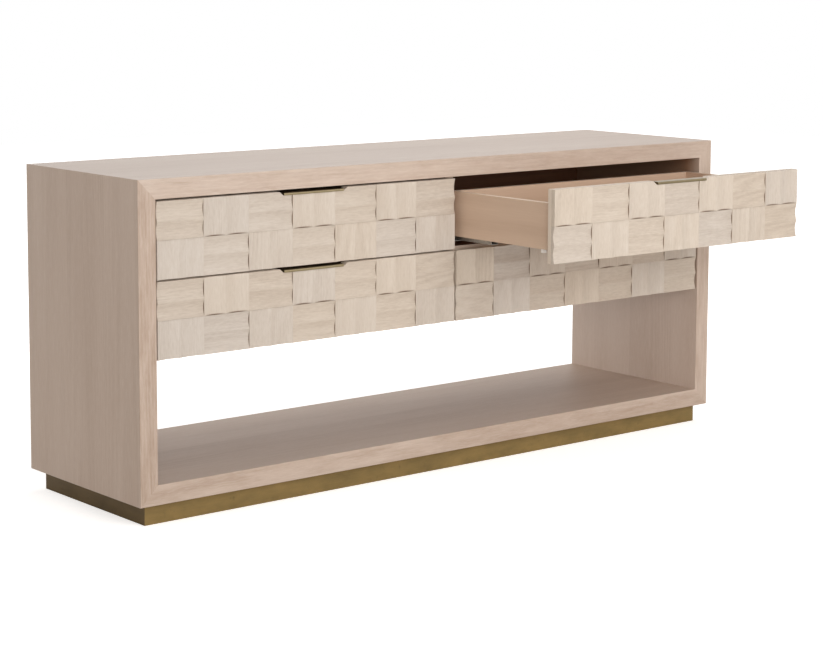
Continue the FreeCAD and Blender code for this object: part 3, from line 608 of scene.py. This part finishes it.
def block_skin(xs, zs, roof, level, depth, lean, sunk, joined):
    """One closed block. The front is a grid over width and height, and the part above the middle crest is
    pressed down under the roof line; its depth is the hollow plus the eased edges, and the sides run straight
    back from its rim to a flat back. Foot, right, top and left sides that are joined to a neighbour take
    painted shade by their depth, and painted shade reaches up the front from a joined foot where the hollows
    end on the ledge below."""
    across, up = np.meshgrid(xs, zs, indexing="ij")
    wide, tall = across.shape
    half = zs[-1] / 2
    press = (roof[:, None] - half) / half
    height = np.where(up > half, half + (up - half) * press, up)
    dish = hollow(height, zs[-1], depth, lean) if level else hollow(across, xs[-1], depth, lean)
    sides = np.minimum(across, xs[-1] - across)
    ends = np.minimum(height, roof[:, None] - height)
    back = sunk + dish + eased(np.minimum(sides, ends))
    front = np.stack([across, back, height], axis=-1).reshape(-1, 3)
    number, quads = grid_quads(wide, tall)
    rim = np.concatenate([number[:-1, 0], number[-1, :-1], number[:0:-1, -1], number[0, :0:-1]])
    rear = front[rim].copy()
    rim_depth = rear[:, 1].copy()
    rear[:, 1] = BLOCK_THICK
    ring = wide * tall + np.arange(len(rim))
    walls = np.stack([rim, ring, np.roll(ring, -1), np.roll(rim, -1)], axis=-1)
    inner = np.repeat(joined, [wide - 1, tall - 1, wide - 1, tall - 1])
    # Painted shade: just above a joined foot the front darkens with the hollow's depth, and joined walls
    # darken with their depth.
    creep = joined[0] * dish * np.clip(1 - height / SHADE_CREEP, 0, 1)
    painted_shade = np.concatenate([creep.ravel(), np.where(inner, BLOCK_THICK - rim_depth, 0.0)])
    return np.concatenate([front, rear]), quads, walls, ring[::-1], painted_shade


def faced_front(drawer):
    """All fourteen blocks of a front in one mesh, with the wood's place, tone (with its painted sheen)
    and painted joint shade at every point.
    """
    low, high = (np.array(corner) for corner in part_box(f"{drawer}_face_blocks"))
    pitch_x = (high[0] - low[0] + BLOCK_JOINT) / COLUMNS
    pitch_z = (high[2] - low[2] + BLOCK_JOINT) / ROWS
    width, height = pitch_x - BLOCK_JOINT, pitch_z - BLOCK_JOINT
    middle = (low[0] + high[0]) / 2
    crown = high[2] + BLOCK_JOINT / 2
    first_column = COLUMNS if drawer.endswith("right") else 0
    points, faces, grain, shade, warmth, joint_shade = [], [], [], [], [], []
    for column in range(COLUMNS):
        for row in range(ROWS):
            level = (first_column + column + row) % 2 == 0
            corner = low + np.array([column * pitch_x, 0.0, (ROWS - 1 - row) * pitch_z])
            marks = middle - corner[0] + np.array([-NOTCH_TOP, -NOTCH_FLOOR, NOTCH_FLOOR, NOTCH_TOP]) / 2
            marks = marks if row == 0 else ()
            if level:
                xs, zs = lines_along(width, marks), lines_across(height)
            else:
                xs = np.unique(np.concatenate([lines_across(width), lines_along(width, marks)]))
                zs = lines_along(height)
            roof = np.minimum(notch_line(xs + corner[0] - middle, crown) - corner[2], height)
            depth = HOLLOW_DEPTH * chance.uniform(SHALLOWEST, 1.0)
            lean = chance.uniform(-CREST_LEAN, CREST_LEAN)
            sunk = chance.uniform(0.0, BLOCK_SUNK)
            joined = (row < ROWS - 1, column < COLUMNS - 1, row > 0, column > 0)
            skin, quads, walls, rear, painted_shade = block_skin(xs, zs, roof, level, depth, lean, sunk, joined)
            start = sum(len(part) for part in points)
            points.append(skin + corner)
            faces += (quads + start).tolist() + (walls + start).tolist() + [(rear + start).tolist()]
            log = np.array([chance.uniform(*reach) for reach in (LOG_LENGTH, LOG_ACROSS, LOG_THROUGH)])
            lie = np.array([0.0, *(chance.uniform(-most, most) for most in (GRAIN_SLOPE, GRAIN_TILT))])
            wood = skin[:, [0, 2, 1] if level else [2, 0, 1]]
            grain.append(wood + wood[:, :1] * lie + log)
            # Painted joint shade at this block's points.
            joint_shade.append(painted_shade)
            # Painted sheen by the way the block's grain lies, added to its random tone.
            painted_sheen = LEVEL_SHEEN if level else UPRIGHT_SHEEN
            shade.append(np.full(len(skin), painted_sheen + chance.uniform(-BLOCK_TONE, BLOCK_TONE)))
            warmth.append(np.full(len(skin), chance.uniform(0, 1)))
    mesh = bpy.data.meshes.new(f"{drawer}_fluted_blocks")
    mesh.from_pydata(np.concatenate(points), [], faces)
    wood_place = mesh.attributes.new("grain", "FLOAT_VECTOR", "POINT")
    wood_place.data.foreach_set("vector", np.concatenate(grain).ravel())
    for name, values in (("shade", shade), ("warmth", warmth), ("joint_shade", joint_shade)):
        mesh.attributes.new(name, "FLOAT", "POINT").data.foreach_set("value", np.concatenate(values))
    mesh.polygons.foreach_set("use_smooth", np.ones(len(mesh.polygons), bool))
    mesh.set_sharp_from_angle(angle=SHARP_EDGE)
    mesh.materials.append(blocks_oak)
    piece = bpy.data.objects.new(f"{drawer}_fluted_blocks", mesh)
    bpy.context.scene.collection.objects.link(piece)
    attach(piece, f"{drawer}_drawer")
    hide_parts(f"{drawer}_face_blocks")


blocks_oak = block_oak()
for drawer in DRAWERS:
    faced_front(drawer)

# Finger pulls: a brass bar on the floor of each notch, folded down behind the board and screwed to it.
# Its rounded front is polished by hands, so it is brighter and smoother than the plinth.
PULL_TINTS = ((158, 143, 113), (126, 112, 85), (102, 89, 66))
PULL_BRUSH = ((5.0, 800.0, 800.0), 3.0, 0.6)
PULL_METAL = 1.0
PULL_GLOSS = (0.38, 0.26)
pull_brass = aged_brass("aged_brass_pull", PULL_TINTS, PULL_BRUSH, PULL_METAL, PULL_GLOSS)
for drawer in DRAWERS:
    dress(pull_brass, f"{drawer}_pull")

# Studio: a pale floor that turns white away from the object, a white surround, and five soft lamps.
# The key lamp stands in front, a large one far to the left, and a low one behind lights the open shelf.
FLOOR_REACH = 9.0
FLOOR_LINES = 9
FLOOR_PALE = (248, 247, 246)
FLOOR_ROUGHNESS = 0.9
GLOW_FROM, GLOW_TO = 0.9, 2.4
GLOW_NEAR, GLOW_FAR = 0.55, 1.0
WHITE = (1.0, 1.0, 1.0, 1.0)
SURROUND_LIGHT = 0.41
SURROUND_WARM = (1.0, 0.96, 0.91, 1.0)
MIDDLE = (0.0, -0.2, 0.45)
SHELF_BAY = (0.3, 0.0, 0.2)
LAMPS = (
    ("key_lamp", (0.3, -3.35, 1.75), MIDDLE, 2.4, 53.0),
    ("left_lamp", (-6.4, -11.0, 3.1), MIDDLE, 5.2, 450.0),
    ("side_lamp", (-3.4, -1.2, 1.5), MIDDLE, 1.8, 4.0),
    ("top_lamp", (0.9, 1.2, 2.8), MIDDLE, 2.0, 21.0),
    ("back_lamp", (-0.7, 2.7, 0.42), SHELF_BAY, 0.6, 24.0),
)


def pale_floor():
    """A square grid on the ground. To lamps it is matt and pale; the camera also sees a glow that grows with
    the distance from the middle, so the object's shadow stays and the floor's far edge is white."""
    line = np.linspace(-FLOOR_REACH, FLOOR_REACH, FLOOR_LINES)
    x, y = np.meshgrid(line, line, indexing="ij")
    spots = np.stack([x, y, np.zeros_like(x)], axis=-1).reshape(-1, 3)
    mesh = bpy.data.meshes.new("floor")
    mesh.from_pydata(spots, [], grid_quads(FLOOR_LINES, FLOOR_LINES)[1].tolist())
    material, sheet, shader = new_finish("pale_floor", FLOOR_ROUGHNESS)
    shader.inputs["Base Color"].default_value = paint(*FLOOR_PALE)
    shader.inputs["Specular IOR Level"].default_value = 0.0
    away = add(sheet, "VectorMath", object_place(sheet), out="Value", operation="LENGTH")
    glow = spread(sheet, away, GLOW_FROM, GLOW_TO, GLOW_NEAR, GLOW_FAR)
    seen = add(sheet, "LightPath", out="Is Camera Ray")
    shader.inputs["Emission Color"].default_value = WHITE
    sheet.links.new(maths(sheet, "MULTIPLY", seen, glow), shader.inputs["Emission Strength"])
    mesh.materials.append(material)
    piece = bpy.data.objects.new("floor", mesh)
    bpy.context.scene.collection.objects.link(piece)


def white_surround():
    """White where the camera and reflections see it, and a dimmer, slightly warm light on everything else."""
    world = bpy.data.worlds.new("white_surround")
    world.use_nodes = True
    sheet = world.node_tree
    background = sheet.nodes["Background"]
    camera_ray, glossy_ray, clear_ray = (add(sheet, "LightPath", out=f"Is {kind} Ray")
                                         for kind in ("Camera", "Glossy", "Transmission"))
    seen = maths(sheet, "MAXIMUM", maths(sheet, "MAXIMUM", camera_ray, glossy_ray), clear_ray)
    sheet.links.new(mix_colour(sheet, seen, SURROUND_WARM, WHITE), background.inputs["Color"])
    sheet.links.new(spread(sheet, seen, 0.0, 1.0, SURROUND_LIGHT, 1.0), background.inputs["Strength"])
    bpy.context.scene.world = world


def soft_lamp(name, spot, aim, size, power):
    """A square soft box that stands at a spot and faces an aim, its side in metres and its power in watts."""
    lamp = bpy.data.lights.new(name, "AREA")
    lamp.size = size
    lamp.energy = power
    holder = bpy.data.objects.new(name, lamp)
    turned = (Vector(spot) - Vector(aim)).to_track_quat("Z", "Y").to_matrix().to_4x4()
    holder.matrix_world = Matrix.Translation(spot) @ turned
    bpy.context.scene.collection.objects.link(holder)


pale_floor()
white_surround()
for lamp in LAMPS:
    soft_lamp(*lamp)

# Camera: stands to the left in front of the chest, a little above it, and looks slightly down with a small
# lens shift, which keeps the uprights nearly parallel.
IMAGE_WIDTH = 823
SENSOR = 36.0
FOCUS_PIXELS = 2084.93
CAMERA_SPOT = (-3.26765, -4.02536, 1.20324)
YAW, PITCH, ROLL = -0.69033, 0.11037, 0.00401
LENS_SHIFT = -0.15


def camera_axes(yaw, pitch, roll):
    """Right, up and backward axes: a turn about the upright, a tilt downwards, then a roll about the view."""
    ahead = np.array([-math.sin(yaw) * math.cos(pitch), math.cos(yaw) * math.cos(pitch), -math.sin(pitch)])
    right = np.array([math.cos(yaw), math.sin(yaw), 0.0])
    up = np.cross(right, ahead)
    cosine, sine = math.cos(roll), math.sin(roll)
    return cosine * right + sine * up, cosine * up - sine * right, -ahead


lens = bpy.data.cameras.new("camera")
lens.sensor_width = SENSOR
lens.lens = FOCUS_PIXELS * SENSOR / IMAGE_WIDTH
lens.shift_y = LENS_SHIFT
camera = bpy.data.objects.new("camera", lens)
turned = Matrix(np.stack(camera_axes(YAW, PITCH, ROLL), axis=1).tolist()).to_4x4()
camera.matrix_world = Matrix.Translation(CAMERA_SPOT) @ turned
bpy.context.scene.collection.objects.link(camera)
bpy.context.scene.camera = camera
bpy.context.scene.view_settings.view_transform = "Standard"
